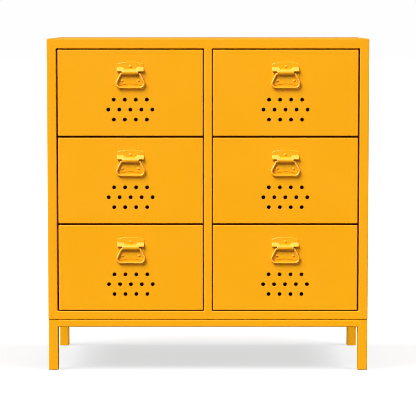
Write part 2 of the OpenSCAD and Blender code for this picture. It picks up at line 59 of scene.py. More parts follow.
# %% [markdown]
# ## Camera
# The photograph is a straight front view from about five metres, with the lens a little above the top of
# the body. Its upright edges are parallel, as a studio camera's sliding lens draws them. Such a large shift
# would push the object out of every other view, so the camera here is tilted down instead, with a small
# shift only, and the upright edges lean in by a pixel. The photograph is very crisp, so the pixel filter is
# narrower than usual, which keeps the thin gaps dark.
# %% Camera
camera_distance = 4.89
camera_height = 0.873
camera_pitch = 4.88
camera_shift = -0.045
sensor_width = 36
focal_pixels, picture_pixels = 1969, 416
pixel_filter = 0.9

camera_data = bpy.data.cameras.new("camera")
camera_data.sensor_width = sensor_width
camera_data.lens = focal_pixels / picture_pixels * sensor_width
camera_data.shift_y = camera_shift
camera = bpy.data.objects.new("camera", camera_data)
camera.location = (0, front_y - camera_distance, camera_height)
camera.rotation_euler = (math.radians(90 - camera_pitch), 0, 0)
bpy.context.scene.collection.objects.link(camera)
bpy.context.scene.camera = camera
bpy.context.scene.view_settings.view_transform = "Standard"
bpy.context.scene.cycles.filter_width = pixel_filter
print("lens", round(camera_data.lens, 1), "mm")

# %% [markdown]
# ## Selecting in code
# A person picks faces with the mouse. A script picks them by where they are: it runs a test on each face,
# edge or corner and selects those that pass. Everything is deselected first, because an operator acts on
# all that is selected, and the loaded pieces still are.
# %% Helpers for selecting
print("still selected after loading:", len(bpy.context.selected_objects), "objects")


def only(obj):
    """Selects one object alone and makes it the active one."""
    bpy.ops.object.select_all(action="DESELECT")
    obj.select_set(True)
    bpy.context.view_layer.objects.active = obj
    return obj


def edit(obj, mode="FACE"):
    """Opens one object in edit mode."""
    only(obj)
    bpy.ops.object.mode_set(mode="EDIT")
    bpy.ops.mesh.select_mode(type=mode)


def pick(kind, test):
    """In edit mode, selects only the faces, edges or verts that pass a test, and counts them."""
    obj = bpy.context.object
    bpy.ops.mesh.select_all(action="DESELECT")
    mesh = bmesh.from_edit_mesh(obj.data)
    found = [item for item in getattr(mesh, kind) if test(item)]
    for item in found:
        item.select_set(True)
    mesh.select_flush_mode()
    bmesh.update_edit_mesh(obj.data)
    return len(found)


def along(edge, axis):
    """Whether an edge runs along X (0), Y (1) or Z (2)."""
    return abs((edge.verts[0].co - edge.verts[1].co).normalized()[axis]) > 0.99


def leave():
    """Goes back to object mode."""
    bpy.ops.object.mode_set(mode="OBJECT")


# %% [markdown]
# ## Folding sheet
# On the real cabinet each visible piece is one sheet with its edges folded back. A sheet has an outer and
# an inner skin, and the inner fold is tighter by the sheet's thickness. So each skin is drawn by itself: a
# plane with rounded corners is extruded along the return, and small insets that also move forwards carry it
# round the fold. The cap that is left gives the outline in which the flat face is filled in later, holes
# included.
# %% Helpers for one skin
FOLD_STEPS = 5
CORNER_STEPS = 6


def outline(x, z, width, height, radius, y):
    """An upright rectangle with rounded corners that faces the front, open in edit mode and selected."""
    bpy.ops.object.select_all(action="DESELECT")
    bpy.ops.mesh.primitive_plane_add(size=1, location=(x, y, z), rotation=(math.radians(90), 0, 0))
    obj = bpy.context.object
    obj.scale = (width, height, 1)
    bpy.ops.object.transform_apply(location=True, rotation=True, scale=True)
    edit(obj, "VERT")
    bpy.ops.mesh.select_all(action="SELECT")
    bpy.ops.mesh.bevel(offset=radius, segments=CORNER_STEPS, affect="VERTICES")
    bpy.ops.mesh.select_mode(type="FACE")
    bpy.ops.mesh.select_all(action="SELECT")
    return obj


def run_forward(distance):
    """Extrudes the selected outline to the front, or to the back where the distance is negative."""
    bpy.ops.mesh.extrude_region_move(TRANSFORM_OT_translate={"value": (0, -distance, 0)})


def fold_steps():
    """The start and end angle of each small step of a fold."""
    turns = [math.radians(90) * i / FOLD_STEPS for i in range(FOLD_STEPS + 1)]
    return list(zip(turns, turns[1:]))


def drop_caps():
    """Deletes the many-sided faces that close a skin, so that its outlines are open."""
    pick("faces", lambda face: len(face.verts) > 4)
    bpy.ops.mesh.delete(type="FACE")
    leave()


print("a fold turns in steps of", round(math.degrees(fold_steps()[0][1])), "degrees")

# %% [markdown]
# The two kinds of fold differ only in which way they turn. An outer edge starts at its return at the back
# and closes in towards the flat face. The edge of an opening starts at the flat face and runs into its
# return. Where all skins of a piece lie in one mesh, the flat faces between them are filled in.
# %% Helpers for folded edges
def outer_edge(x, z, width, height, radius, front, back, fold):
    """Skin of an outer edge that is folded back, from its return at the back to the flat face."""
    obj = outline(x, z, width, height, radius, back)
    run_forward(back - front - fold)
    for a, b in fold_steps():
        bpy.ops.mesh.inset(thickness=fold * (math.cos(a) - math.cos(b)),
                           depth=fold * (math.sin(b) - math.sin(a)))
    drop_caps()
    return obj


def fold_in(fold):
    """Insets the selected outline round a fold that turns into the sheet."""
    for a, b in fold_steps():
        bpy.ops.mesh.inset(thickness=fold * (math.sin(b) - math.sin(a)),
                           depth=-fold * (math.cos(a) - math.cos(b)))


def hole_edge(x, z, width, height, radius, front, back, fold):
    """Skin round an opening whose edge is folded back, from the flat face to its return at the back."""
    obj = outline(x, z, width + 2 * fold, height + 2 * fold, radius + fold, front)
    fold_in(fold)
    run_forward(-(back - front - fold))
    drop_caps()
    return obj


def turn_out():
    """In edit mode, turns all faces of a closed skin outwards."""
    bpy.ops.mesh.select_all(action="SELECT")
    bpy.ops.mesh.normals_make_consistent(inside=False)
    leave()


def fill_flat(obj, depths):
    """Fills the open outlines at each depth, without the holes inside them, and turns the faces out."""
    edit(obj, "EDGE")
    for y in depths:
        pick("edges", lambda edge: edge.is_boundary and all(abs(v.co.y - y) < TINY for v in edge.verts))
        bpy.ops.mesh.fill()
    turn_out()


# %% [markdown]
# ## Joining and shading
# Skins become one piece when they are joined. A modifier is applied at once, so that the next step works on
# the real mesh. Smooth shading makes the few steps of a fold look round, and weighted normals keep the
# large faces beside it flat. Each finished piece is measured, and its open edges are counted, because a
# gap in a skin would let light through.
# %% Helpers for whole pieces
def modify(obj, kind, **settings):
    """Adds a modifier with its settings and applies it."""
    only(obj)
    modifier = obj.modifiers.new(kind.lower(), kind)
    for key, value in settings.items():
        setattr(modifier, key, value)
    bpy.ops.object.modifier_apply(modifier=modifier.name)


def join(pieces, name):
    """Joins pieces into one mesh."""
    bpy.ops.object.select_all(action="DESELECT")
    for piece in pieces:
        piece.select_set(True)
    bpy.context.view_layer.objects.active = pieces[0]
    bpy.ops.object.join()
    pieces[0].name = name
    return pieces[0]


def smooth(obj, degrees=35):
    """Smooth shading across the folds, with the flat faces kept flat by weighted normals."""
    only(obj)
    bpy.ops.object.shade_smooth_by_angle(angle=math.radians(degrees))
    modify(obj, "WEIGHTED_NORMAL", keep_sharp=True)
    return obj


def report(obj):
    """Prints a piece's size and whether its surface is closed."""
    mesh = bmesh.new()
    mesh.from_mesh(obj.data)
    low, high = [[round(end(v.co[i] for v in mesh.verts) / mm, 2) for i in range(3)] for end in (min, max)]
    open_edges = sum(not edge.is_manifold for edge in mesh.edges)
    print(obj.name, "faces", len(mesh.faces), "open edges", open_edges,
          "volume", round(mesh.calc_volume() / mm ** 3), "mm3, from", low, "to", high)
    mesh.free()


# %% [markdown]
# ## Front frame
# The frame round the drawers is one sheet with two large openings. Its outer edge is folded back by 15 mm
# and the openings' edges by 20 mm. Booleans on a block would leave sharp edges that catch no light, so the
# skins are folded here with the helpers, two for the outer edge and two for each opening, and the flat face
# is filled in.
# %% Front frame
frame_sheet = 1.2 * mm
frame_fold = 2 * mm
frame_corner = 2.5 * mm
frame_return = 15 * mm
opening_return = 20 * mm
opening_size = (366.75 * mm, 656.5 * mm)
opening_x = 193.625 * mm
opening_bottom = 21 * mm

middle_z = (body_low.z + body_high.z) / 2
opening_z = body_low.z + opening_bottom + opening_size[1] / 2
skins = []
for sheet in (0, frame_sheet):
    face, fold = front_y + sheet, frame_fold - sheet
    skins.append(outer_edge(0, middle_z, body_size.x - 2 * sheet, body_size.z - 2 * sheet,
                            frame_corner - sheet, face, front_y + frame_return, fold))
    for x in (-opening_x, opening_x):
        skins.append(hole_edge(x, opening_z, opening_size[0] + 2 * sheet, opening_size[1] + 2 * sheet,
                               frame_corner + sheet, face, front_y + opening_return, fold))
front_frame = join(skins, "folded_front_frame")
fill_flat(front_frame, (front_y, front_y + frame_sheet, front_y + frame_return, front_y + opening_return))
report(smooth(front_frame))

# %% [markdown]
# ## Drawer fronts
# Each front is a shallow pan of 1 mm sheet with its four edges folded back by 15 mm, and thirteen round
# vents punched in three rows. One front is modelled for the bottom left bay and copied to the other five.
# %% Sizes of a drawer front
front_sheet = 1 * mm
front_fold = 1.6 * mm
front_corner = 2 * mm
front_low, front_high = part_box("bottom_left_drawer_front")
front_middle = (front_low + front_high) / 2
front_size = front_high - front_low
print("drawer front", [round(v / mm, 2) for v in front_size], "mm")

# %% [markdown]
# A punch leaves a slightly rounded rim, which shows as a thin light ring. So a vent is a circle whose edge
# is folded inwards a little before it goes through the sheet. One vent is made, and the others are copies
# whose shift goes into their own mesh.
# %% Punched vents
vent_radius = 4.8 * mm
vent_rim = 0.4 * mm
vent_pitch = (27.4 * mm, 24.8 * mm)
vent_drop = 41.5 * mm
VENT_SIDES = 40
VENT_ROWS = ((-1, 4), (0, 5), (1, 4))


def vent_edge(x, z):
    """Skin of one punched vent, from the front face through the sheet."""
    bpy.ops.object.select_all(action="DESELECT")
    bpy.ops.mesh.primitive_circle_add(vertices=VENT_SIDES, radius=vent_radius + vent_rim, fill_type="NGON",
                                      location=(x, front_y, z), rotation=(math.radians(90), 0, 0))
    obj = bpy.context.object
    bpy.ops.object.transform_apply(location=True, rotation=True, scale=True)
    edit(obj)
    bpy.ops.mesh.select_all(action="SELECT")
    fold_in(vent_rim)
    run_forward(vent_rim - front_sheet)
    drop_caps()
    return obj


def copy_to(piece, name, shift):
    """A copy with its own mesh, moved by a shift that goes into the mesh."""
    only(piece)
    bpy.ops.object.duplicate(linked=False)
    copy = bpy.context.object
    copy.name = name
    copy.data.name = name
    copy.location = shift
    bpy.ops.object.transform_apply(location=True, rotation=False, scale=False)
    return copy


first_vent = vent_edge(front_middle.x, front_middle.z - vent_drop)
vents = [first_vent]
for row, count in VENT_ROWS:
    for i in range(count):
        across = (i - (count - 1) / 2) * vent_pitch[0]
        if row or across:
            vents.append(copy_to(first_vent, "vent", (across, 0, row * vent_pitch[1])))
print("vents", len(vents))

# %% [markdown]
# The pan itself is folded like the front frame: one outer and one inner skin. With the vents joined to
# them, the two flat faces are filled in round the thirteen holes in one go.
# %% Folded drawer front
skins = [outer_edge(front_middle.x, front_middle.z, front_size.x - 2 * sheet, front_size.z - 2 * sheet,
                    front_corner - sheet, front_y + sheet, front_high.y, front_fold - sheet)
         for sheet in (0, front_sheet)]
drawer_front = join(skins + vents, "folded_drawer_front")
fill_flat(drawer_front, (front_y, front_y + front_sheet, front_high.y))
report(smooth(drawer_front))

# %% [markdown]
# ## Drawer boxes
# Behind each front sits a tray folded from one sheet: a bottom, two sides and a back, and narrow flanges
# that are welded to the front. The tray is shaped as a thin surface first, from a cube without its lid, and
# only then gets its thickness, because a fold is far easier to round on a surface than on a wall.
# %% Tray without a lid
box_sheet = 1 * mm
box_fold = 1.6 * mm
box_flange = 12 * mm
rim_radius = 1.4 * mm


def add_box(name, low, high):
    """A cube primitive from its lowest to its highest corner, with its place in its mesh."""
    low, high = Vector(low), Vector(high)
    bpy.ops.object.select_all(action="DESELECT")
    bpy.ops.mesh.primitive_cube_add(size=1, location=(low + high) / 2)
    obj = bpy.context.object
    obj.name = name
    obj.scale = high - low
    bpy.ops.object.transform_apply(location=True, rotation=True, scale=True)
    return obj


tray_low, tray_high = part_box("bottom_left_drawer_box")
rim_z = tray_high.z - rim_radius
tray = add_box("folded_drawer_box", tray_low, (tray_high.x, tray_high.y, rim_z))
edit(tray)
pick("faces", lambda face: face.normal.z > 0.9)
bpy.ops.mesh.delete(type="FACE")
pick("faces", lambda face: face.normal.y < -0.9)
bpy.ops.mesh.inset(thickness=box_flange, use_boundary=False)
bpy.ops.mesh.delete(type="FACE")
bpy.ops.mesh.select_mode(type="EDGE")
folds = pick("edges", lambda edge: edge.is_manifold and edge.calc_face_angle() > math.radians(80))
bpy.ops.mesh.bevel(offset=box_fold, segments=FOLD_STEPS, affect="EDGES")
print("folds of the tray", folds)

# %% [markdown]
# The tray's upper rim is rolled inwards and down, so that no cut edge meets a hand. The rim's edges are
# extruded in small steps along a half circle, and each step is drawn in towards the tray's middle.
# %% Rolled rim and thickness
rim_depth = 8 * mm
RIM_STEPS = 8

tray_middle = (tray_low + tray_high) / 2
half_tray = (tray_high - tray_low) / 2
pick("edges", lambda edge: edge.is_boundary and all(
    abs(v.co.z - rim_z) < TINY and v.co.y > tray_low.y + 0.99 * box_fold for v in edge.verts))
turns = [math.radians(180) * i / RIM_STEPS for i in range(RIM_STEPS + 1)]
for a, b in zip(turns, turns[1:]):
    inwards = rim_radius * (math.cos(a) - math.cos(b))
    half = half_tray - Vector((1, 1, 1)) * rim_radius * (1 - math.cos(a))
    bpy.ops.mesh.extrude_region_move(TRANSFORM_OT_translate={
        "value": (0, 0, rim_radius * (math.sin(b) - math.sin(a)))})
    bpy.ops.transform.resize(value=(1 - inwards / half.x, 1 - inwards / half.y, 1),
                             center_override=tray_middle)
bpy.ops.mesh.extrude_region_move(TRANSFORM_OT_translate={"value": (0, 0, -rim_depth)})
turn_out()
modify(tray, "SOLIDIFY", thickness=box_sheet, offset=-1)
report(smooth(tray))

# %% [markdown]
# ## Handle plates
# The handle's plate is one pressing: a flat arched plate, a half round barrel across it and a sloping hood
# at each end of the barrel, which hides the bend of the bail. Pressed sheet has no sharp inner corners. So
# the solid forms are put together first, turned into one skin by a voxel remesh and smoothed, which rounds
# every meeting as a press does. Only then are the bore and the hoods' hollows cut, so that their sheared
# edges stay crisp. All sizes count from the middle of the barrel.
# %% Sizes and helpers for the handle
handle_x = front_middle.x
barrel_z = front_middle.z + 50.8 * mm
plate_half = 33.5 * mm
plate_up, plate_down = 26.6 * mm, 31.3 * mm
plate_sheet = 1.2 * mm
barrel_half, barrel_radius, barrel_stand = 20.5 * mm, 7.1 * mm, 3.4 * mm
behind = 2 * mm  # the forms start this far behind the drawer's front and are cut off flush later


def at_handle(x, out, up):
    """A point from the middle of the barrel's axis on the drawer front: across, outwards and up."""
    return Vector((handle_x + x, front_y - out, barrel_z + up))


def add_rod(name, middle, radius, length, axis, sides=64):
    """A cylinder primitive along X or Y."""
    turn = {"X": (0, math.radians(90), 0), "Y": (math.radians(90), 0, 0)}[axis]
    bpy.ops.object.select_all(action="DESELECT")
    bpy.ops.mesh.primitive_cylinder_add(vertices=sides, radius=radius, depth=length, location=middle,
                                        rotation=turn)
    obj = bpy.context.object
    obj.name = name
    bpy.ops.object.transform_apply(location=True, rotation=True, scale=True)
    return obj


def cut(obj, cutter):
    """Cuts a closed mesh out of another, and is rid of it."""
    modify(obj, "BOOLEAN", object=cutter, operation="DIFFERENCE", solver="EXACT")
    bpy.data.objects.remove(cutter)


def slice_off(obj, point, outwards):
    """Cuts off all that lies beyond a plane, and closes the cut."""
    edit(obj)
    bpy.ops.mesh.select_all(action="SELECT")
    bpy.ops.mesh.bisect(plane_co=point, plane_no=outwards, clear_outer=True, use_fill=True)
    leave()


print("handle plate", 2 * plate_half / mm, "x", round((plate_up + plate_down) / mm, 1), "mm")

# %% [markdown]
# The plate's upper edge is a shallow arc and its lower edge rises a little in the middle. So the plate is a
# thin slice of a very large cylinder, sliced straight at both sides and below, with its four corners
# rounded and a second large cylinder cut out of its lower edge.
# %% Arched plate
top_arc = 108.5 * mm
bottom_arc, bottom_rise = 82.2 * mm, 3 * mm
plate_corner = 4 * mm
ARC_SIDES = (256, 192)
PLATE_CORNER_STEPS = 8
cutter_length = 20 * mm

plate = add_rod("pressed_handle_plate",
                at_handle(0, plate_sheet - (behind + plate_sheet) / 2, plate_up - top_arc),
                top_arc, behind + plate_sheet, "Y", ARC_SIDES[0])
for side in (-1, 1):
    slice_off(plate, at_handle(side * plate_half, 0, 0), (side, 0, 0))
slice_off(plate, at_handle(0, 0, -plate_down), (0, 0, -1))
edit(plate, "EDGE")
pick("edges", lambda edge: along(edge, 1) and all(
    abs(abs(v.co.x - handle_x) - plate_half) < TINY for v in edge.verts))
bpy.ops.mesh.bevel(offset=plate_corner, segments=PLATE_CORNER_STEPS, affect="EDGES")
leave()
cut(plate, add_rod("rise", at_handle(0, 0, bottom_rise - plate_down - bottom_arc), bottom_arc,
                   cutter_length, "Y", ARC_SIDES[1]))
report(plate)

# %% [markdown]
# Each hood is a box whose corners are moved: its front is low, so that its top slopes outwards, and its
# inner upper corner leans away from the barrel. The barrel is a cylinder on a block that fills the space
# down to the plate.
# %% Barrel and hoods
ear_stand, ear_top, ear_knee, ear_lip = 9 * mm, 14 * mm, 4.4 * mm, 2.4 * mm
ear_start, ear_slant, ear_flank = 11.5 * mm, 9 * mm, 2.5 * mm

barrel = add_rod("barrel", at_handle(0, barrel_stand, 0), barrel_radius, 2 * barrel_half, "X")
foot = add_box("barrel_foot", at_handle(-barrel_half, barrel_stand, -barrel_radius),
               at_handle(barrel_half, -behind, barrel_radius))
slope_top = ear_top + behind * (ear_top - ear_knee) / ear_stand
ears = []
for side in (-1, 1):
    ends = sorted((side * ear_start, side * plate_half))
    ear = add_box("ear", at_handle(ends[0], ear_stand, ear_lip), at_handle(ends[1], -behind, slope_top))
    edit(ear, "VERT")
    pick("verts", lambda v: v.co.y < front_y and v.co.z > barrel_z + ear_knee)
    bpy.ops.transform.translate(value=(0, 0, ear_knee - slope_top))
    inner = at_handle(side * ear_start, 0, 0).x
    pick("verts", lambda v: abs(v.co.x - inner) < TINY and v.co.z > barrel_z + ear_top)
    bpy.ops.transform.translate(value=(side * ear_slant, 0, 0))
    pick("verts", lambda v: abs(v.co.x - inner) < TINY and v.co.y > front_y)
    bpy.ops.transform.translate(value=(-side * ear_flank, 0, 0))
    leave()
    ears.append(ear)
join([plate, barrel, foot] + ears, "pressed_handle_plate")
report(plate)

# %% [markdown]
# The remesh turns the overlapping forms into one closed skin of small even faces, and smoothing rounds
# their meetings. What stands behind the drawer's front is then cut off flush, and decimating takes out the
# many faces that the flat parts don't need.
# %% Remesh and smooth the handle
voxel = 0.4 * mm
SMOOTHING_ROUNDS = 12
FACES_KEPT = 0.12

modify(plate, "REMESH", mode="VOXEL", voxel_size=voxel)
modify(plate, "SMOOTH", factor=0.5, iterations=SMOOTHING_ROUNDS)
slice_off(plate, (handle_x, front_y, barrel_z), (0, 1, 0))
modify(plate, "DECIMATE", ratio=FACES_KEPT)
report(plate)

# %% [markdown]
# The bore for the bail's pins runs through the barrel and is open to the drawer's front, as the barrel is
# bent from the same sheet. A sloping pocket under each hood leaves a wall of the sheet's thickness.
# %% Bore and hollows
bore_radius = 5.9 * mm
bore_over = 3 * mm
hood_wall = 1.2 * mm
pocket_gap = 0.7 * mm
pocket_floor = 0.05 * mm
pocket_top, pocket_front = 11 * mm, 3.9 * mm

bore_half = barrel_half + bore_over
cut(plate, add_rod("bore", at_handle(0, barrel_stand, 0), bore_radius, 2 * bore_half, "X"))
cut(plate, add_box("bore_foot", at_handle(-bore_half, barrel_stand, -bore_radius),
                   at_handle(bore_half, -1 * mm, bore_radius)))
for side in (-1, 1):
    ends = sorted((side * (barrel_half + pocket_gap), side * (plate_half - hood_wall)))
    pocket = add_box("pocket", at_handle(ends[0], ear_stand - hood_wall, 0),
                     at_handle(ends[1], plate_sheet + pocket_floor, pocket_top))
    edit(pocket, "EDGE")
    pick("edges", lambda edge: all(v.co.y < front_y - 2 * plate_sheet and v.co.z > barrel_z + ear_lip
                                   for v in edge.verts))
    bpy.ops.transform.translate(value=(0, 0, pocket_front - pocket_top))
    leave()
    cut(plate, pocket)
report(smooth(plate, 40))

# %% [markdown]
# ## Wire bails
# A bail is 5 mm round wire, bent into a trapezium whose two short ends turn inwards into the barrel. It is
# drawn as it is bent: a circle at one pin's end is run along the pin, spun round each bend and run along
# each straight up to the middle of the grip. The other half is its mirror image.
# %% Half a bail
wire_radius = 2.5 * mm
pin_start, pin_end = 8.2 * mm, 20.2 * mm
shoulder_radius, shoulder_turn = 4 * mm, math.radians(63.93)
arm = 21.02 * mm
corner_radius, corner_turn = 9.5 * mm, math.radians(116.07)
corner_x, grip_drop = 24.5 * mm, 34.8 * mm
WIRE_SIDES = 24
SHOULDER_STEPS, GRIP_STEPS = 8, 14


def run_wire(x, z):
    """Extrudes the open end of the wire along a straight."""
    bpy.ops.mesh.extrude_region_move(TRANSFORM_OT_translate={"value": (x, 0, z)})


def bend_wire(x, z, turn, steps):
    """Spins the open end of the wire downwards about a point of the bail's plane."""
    bpy.ops.mesh.spin(steps=steps, angle=turn, center=(x, 0, z), axis=(0, -1, 0))


bpy.ops.object.select_all(action="DESELECT")
bpy.ops.mesh.primitive_circle_add(vertices=WIRE_SIDES, radius=wire_radius, fill_type="NOTHING",
                                  location=(pin_start, 0, 0), rotation=(0, math.radians(90), 0))
bail = bpy.context.object
bail.name = "bent_wire_bail"
bpy.ops.object.transform_apply(location=True, rotation=True, scale=True)
edit(bail, "EDGE")
bpy.ops.mesh.select_all(action="SELECT")
run_wire(pin_end - pin_start, 0)
bend_wire(pin_end, -shoulder_radius, shoulder_turn, SHOULDER_STEPS)
heading = math.pi / 2 - shoulder_turn
run_wire(arm * math.sin(heading), -arm * math.cos(heading))
bend_wire(corner_x, corner_radius - grip_drop, corner_turn, GRIP_STEPS)
run_wire(-corner_x, 0)
print("half a bail has", len(bmesh.from_edit_mesh(bail.data).faces), "faces")

# %% [markdown]
# The pin's open end is closed with a face whose edge is bevelled, as a sheared wire is tumbled until its
# ends are blunt. Then the half is mirrored, and the bail goes to its place in the barrel.
# %% Whole bail
pin_chamfer = 0.6 * mm
pin_out, pin_up = 5.178 * mm, -2.539 * mm
weld_distance = 0.05 * mm

pick("edges", lambda edge: edge.is_boundary and all(
    abs(v.co.x - pin_start) < TINY and v.co.z > -1.01 * wire_radius for v in edge.verts))
bpy.ops.mesh.edge_face_add()
bpy.ops.mesh.bevel(offset=pin_chamfer, segments=2, affect="EDGES")
leave()
modify(bail, "MIRROR", merge_threshold=weld_distance)
edit(bail)
turn_out()
bail.location = at_handle(0, pin_out, pin_up)
bpy.ops.object.transform_apply(location=True, rotation=False, scale=False)
report(smooth(bail, 50))

# %% [markdown]
# ## Handle rivets
# Three round-head rivets hold each handle: one high in the middle and one at each lower corner. A rivet
# starts from its tail inside the drawer, narrows to the shank that fills the hole, widens to the head and
# closes in small steps as a low dome.
# %% Rivets
RIVET_PLACES = [(0, 14.8 * mm), (-20.6 * mm, -20.3 * mm), (20.6 * mm, -20.3 * mm)]
tail_radius, tail_thick = 3 * mm, 1.2 * mm
shank_radius, head_radius, head_rise = 1.9 * mm, 3.75 * mm, 2.2 * mm
RIVET_SIDES, DOME_STEPS = 32, 7
dome_radius = (head_radius ** 2 + head_rise ** 2) / (2 * head_rise)
dome_angle = math.asin(head_radius / dome_radius)


def grow(middle, forward, factor):
    """Extrudes the selected disc forwards, then sizes it about the rivet's axis."""
    bpy.ops.mesh.extrude_region_move(TRANSFORM_OT_translate={"value": (0, -forward, 0)})
    bpy.ops.transform.resize(value=(factor, 1, factor), center_override=middle)


def add_rivet(x, up):
    """One rivet through the handle's plate and the drawer's front."""
    start = at_handle(x, -front_sheet - tail_thick, up)
    bpy.ops.object.select_all(action="DESELECT")
    bpy.ops.mesh.primitive_circle_add(vertices=RIVET_SIDES, radius=tail_radius, fill_type="NGON",
                                      location=start, rotation=(math.radians(90), 0, 0))
    obj = bpy.context.object
    bpy.ops.object.transform_apply(location=True, rotation=True, scale=True)
    edit(obj)
    bpy.ops.mesh.select_all(action="SELECT")
    grow(start, tail_thick, 1)
    grow(start, 0, shank_radius / tail_radius)
    grow(start, front_sheet + plate_sheet, 1)
    grow(start, 0, head_radius / shank_radius)
    for step in range(DOME_STEPS):
        now, then = [dome_angle * (1 - (step + i) / DOME_STEPS) for i in (0, 1)]
        nearly_closed = 0.02
        factor = nearly_closed if step == DOME_STEPS - 1 else math.sin(then) / math.sin(now)
        grow(start, dome_radius * (math.cos(then) - math.cos(now)), factor)
    bpy.ops.mesh.merge(type="CENTER")
    turn_out()
    return obj


rivets = join([add_rivet(x, up) for x, up in RIVET_PLACES], "round_head_rivets")
report(smooth(rivets, 40))

# %% [markdown]
# ## Stand
# The stand is welded from square steel tube. A tube is a long box whose long edges are rounded, and its
# walls are given their thickness inwards, so that the ends stay open like those of a sawn tube.
# %% Legs
tube_round, tube_wall = 2 * mm, 1.5 * mm
tube_side = 24 * mm
TUBE_STEPS = 5


def add_tube(name, low, high, axis):
    """A square tube between two corners of its box, open at both ends of its axis."""
    obj = add_box(name, low, high)
    edit(obj, "EDGE")
    pick("edges", lambda edge: along(edge, axis))
    bpy.ops.mesh.bevel(offset=tube_round, segments=TUBE_STEPS, affect="EDGES")
    bpy.ops.mesh.select_mode(type="FACE")
    pick("faces", lambda face: abs(face.normal[axis]) > 0.99)
    bpy.ops.mesh.delete(type="FACE")
    leave()
    modify(obj, "SOLIDIFY", thickness=tube_wall, offset=-1)
    return obj


low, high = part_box("legs")
front_left, rear_left, front_right, rear_right = [
    add_tube("leg", (x, y, low.z), (x + tube_side, y + tube_side, high.z), 2)
    for x in (low.x, high.x - tube_side) for y in (low.y, high.y - tube_side)]
rear_left_leg, rear_right_leg = smooth(rear_left), smooth(rear_right)
rear_left_leg.name, rear_right_leg.name = "rear_left_tube_leg", "rear_right_tube_leg"
front_legs = smooth(join([front_left, front_right], "front_tube_legs"))
legs = [front_legs, rear_left_leg, rear_right_leg]
for piece in legs:
    report(piece)

# %% [markdown]
# The rails run a little way over the rounded corners of the legs, as the weld there is ground flush.
# %% Rails
over_leg = tube_round
rails = {}
for name in ("front_rail", "rear_rail"):
    low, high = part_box(name)
    rails[name] = smooth(add_tube("tube_" + name, (low.x - over_leg, low.y, low.z),
                                  (high.x + over_leg, high.y, high.z), 0))
low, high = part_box("side_rails")
sides = [add_tube("side", (x, low.y - over_leg, low.z), (x + tube_side, high.y + over_leg, high.z), 1)
         for x in (low.x, high.x - tube_side)]
rails["side_rails"] = smooth(join(sides, "tube_side_rails"))
for rail in rails.values():
    report(rail)

# %% [markdown]
# ## One of each for every drawer
# All six drawers are alike, so each piece is modelled once and copied. The fronts stand one drawer's width
# apart, but the trays behind them hang from runners that lie differently to the middle, so each kind of
# piece takes its own shift from the frame. Every copy rides on the body that carries it in the model and
# takes that node's place.
# %% Copies and bodies
FIRST_BAY = "bottom_left"
KINDS = [(drawer_front, "_drawer_front", "_drawer"), (tray, "_drawer_box", "_drawer"),
         (plate, "_handle_plate", "_drawer"), (rivets, "_handle_rivets", "_drawer"),
         (bail, "_handle_bail", "_bail")]
pieces = []


def stand_for(piece, body, node):
    """The piece moves with a body and is shown in the place of one node."""
    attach(piece, body)
    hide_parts(node)
    pieces.append(piece)


for bay in BAYS:
    for piece, node, body in KINDS:
        if bay != FIRST_BAY:
            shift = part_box(bay + node)[0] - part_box(FIRST_BAY + node)[0]
            piece = copy_to(piece, piece.name + "_" + bay, shift)
        stand_for(piece, bay + body, bay + node)
stand_for(front_frame, "cabinet", "front_frame")
for piece in legs:
    stand_for(piece, "cabinet", "legs")
for name, rail in rails.items():
    stand_for(rail, "cabinet", name)
print("new pieces", len(pieces))

# %% [markdown]
# ## Pieces that stay as they are drawn
# The panels, runners and small parts already have their real form. A render of their sharp edges would look
# like cut card, so a small live bevel catches the light along them, as the edge of real sheet does. The
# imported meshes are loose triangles, so their corners are welded first.
# %% Soft edges on the kept pieces
edge_round = 0.3 * mm
corner_weld = 0.005 * mm
SHARP_FROM = math.radians(40)

replaced = {bay + node for bay in BAYS for _, node, _ in KINDS} | {"front_frame", "legs", *rails}
kept = [obj for name, obj in nodes.items() if name not in replaced]
for obj in kept:
    weld = obj.modifiers.new("weld", "WELD")
    weld.merge_threshold = corner_weld
    bevel = obj.modifiers.new("edge", "BEVEL")
    bevel.width = edge_round
    bevel.segments = 2
    bevel.limit_method = "ANGLE"
    bevel.angle_limit = SHARP_FROM
print("kept pieces", len(kept))

# %% [markdown]
# ## Colours and nodes
# Colours are written as the sRGB hex values that a picture shows, and the shader works on linear light, so
# one function turns the one into the other. A second one adds a node with its settings and links, which
# keeps each material readable from top to bottom. It names an input by its socket, or by i and its number
# where several sockets share a name.
# %% Helpers for materials
def linear(hex_colour):
    """RGBA in linear light from a colour such as #FBAC02."""
    channels = [int(hex_colour[i:i + 2], 16) / 255 for i in (1, 3, 5)]
    return [c / 12.92 if c <= 0.04045 else ((c + 0.055) / 1.055) ** 2.4 for c in channels] + [1]


def add_node(tree, kind, settings=None, **inputs):
    """Adds a node, sets its own settings, and sets or links its inputs."""
    node = tree.nodes.new(kind)
    for key, value in (settings or {}).items():
        setattr(node, key, value)
    for key, value in inputs.items():
        numbered = key[0] == "i" and key[1:].isdigit()
        socket = node.inputs[int(key[1:]) if numbered else key.replace("_", " ")]
        if isinstance(value, bpy.types.NodeSocket):
            tree.links.new(value, socket)
        else:
            socket.default_value = value
    return node


def new_material(name):
    """An empty node material."""
    material = bpy.data.materials.new(name)
    material.use_nodes = True
    material.node_tree.nodes.clear()
    return material, material.node_tree


print("coat colour in linear light", [round(c, 3) for c in linear("#FBAC02")])

# %% [markdown]
# ## Powder coat
# Nearly everything is sprayed with one warm yellow powder and baked. The powder melts into a skin with a
# very fine ripple, which breaks up reflections without showing as a pattern, and its gloss and tone drift a
# little across a large face. Noise nodes give all three. Most of a noise's values lie between 0.3 and 0.7,
# so Map Range nodes stretch that part between the two ends of each drift.
# %% Powder coat
RIPPLE_SIZE = 3 * mm
TONE_SIZE, GLOSS_SIZE = 240 * mm, 80 * mm
NOISE_SPAN = {"From_Min": 0.3, "From_Max": 0.7}


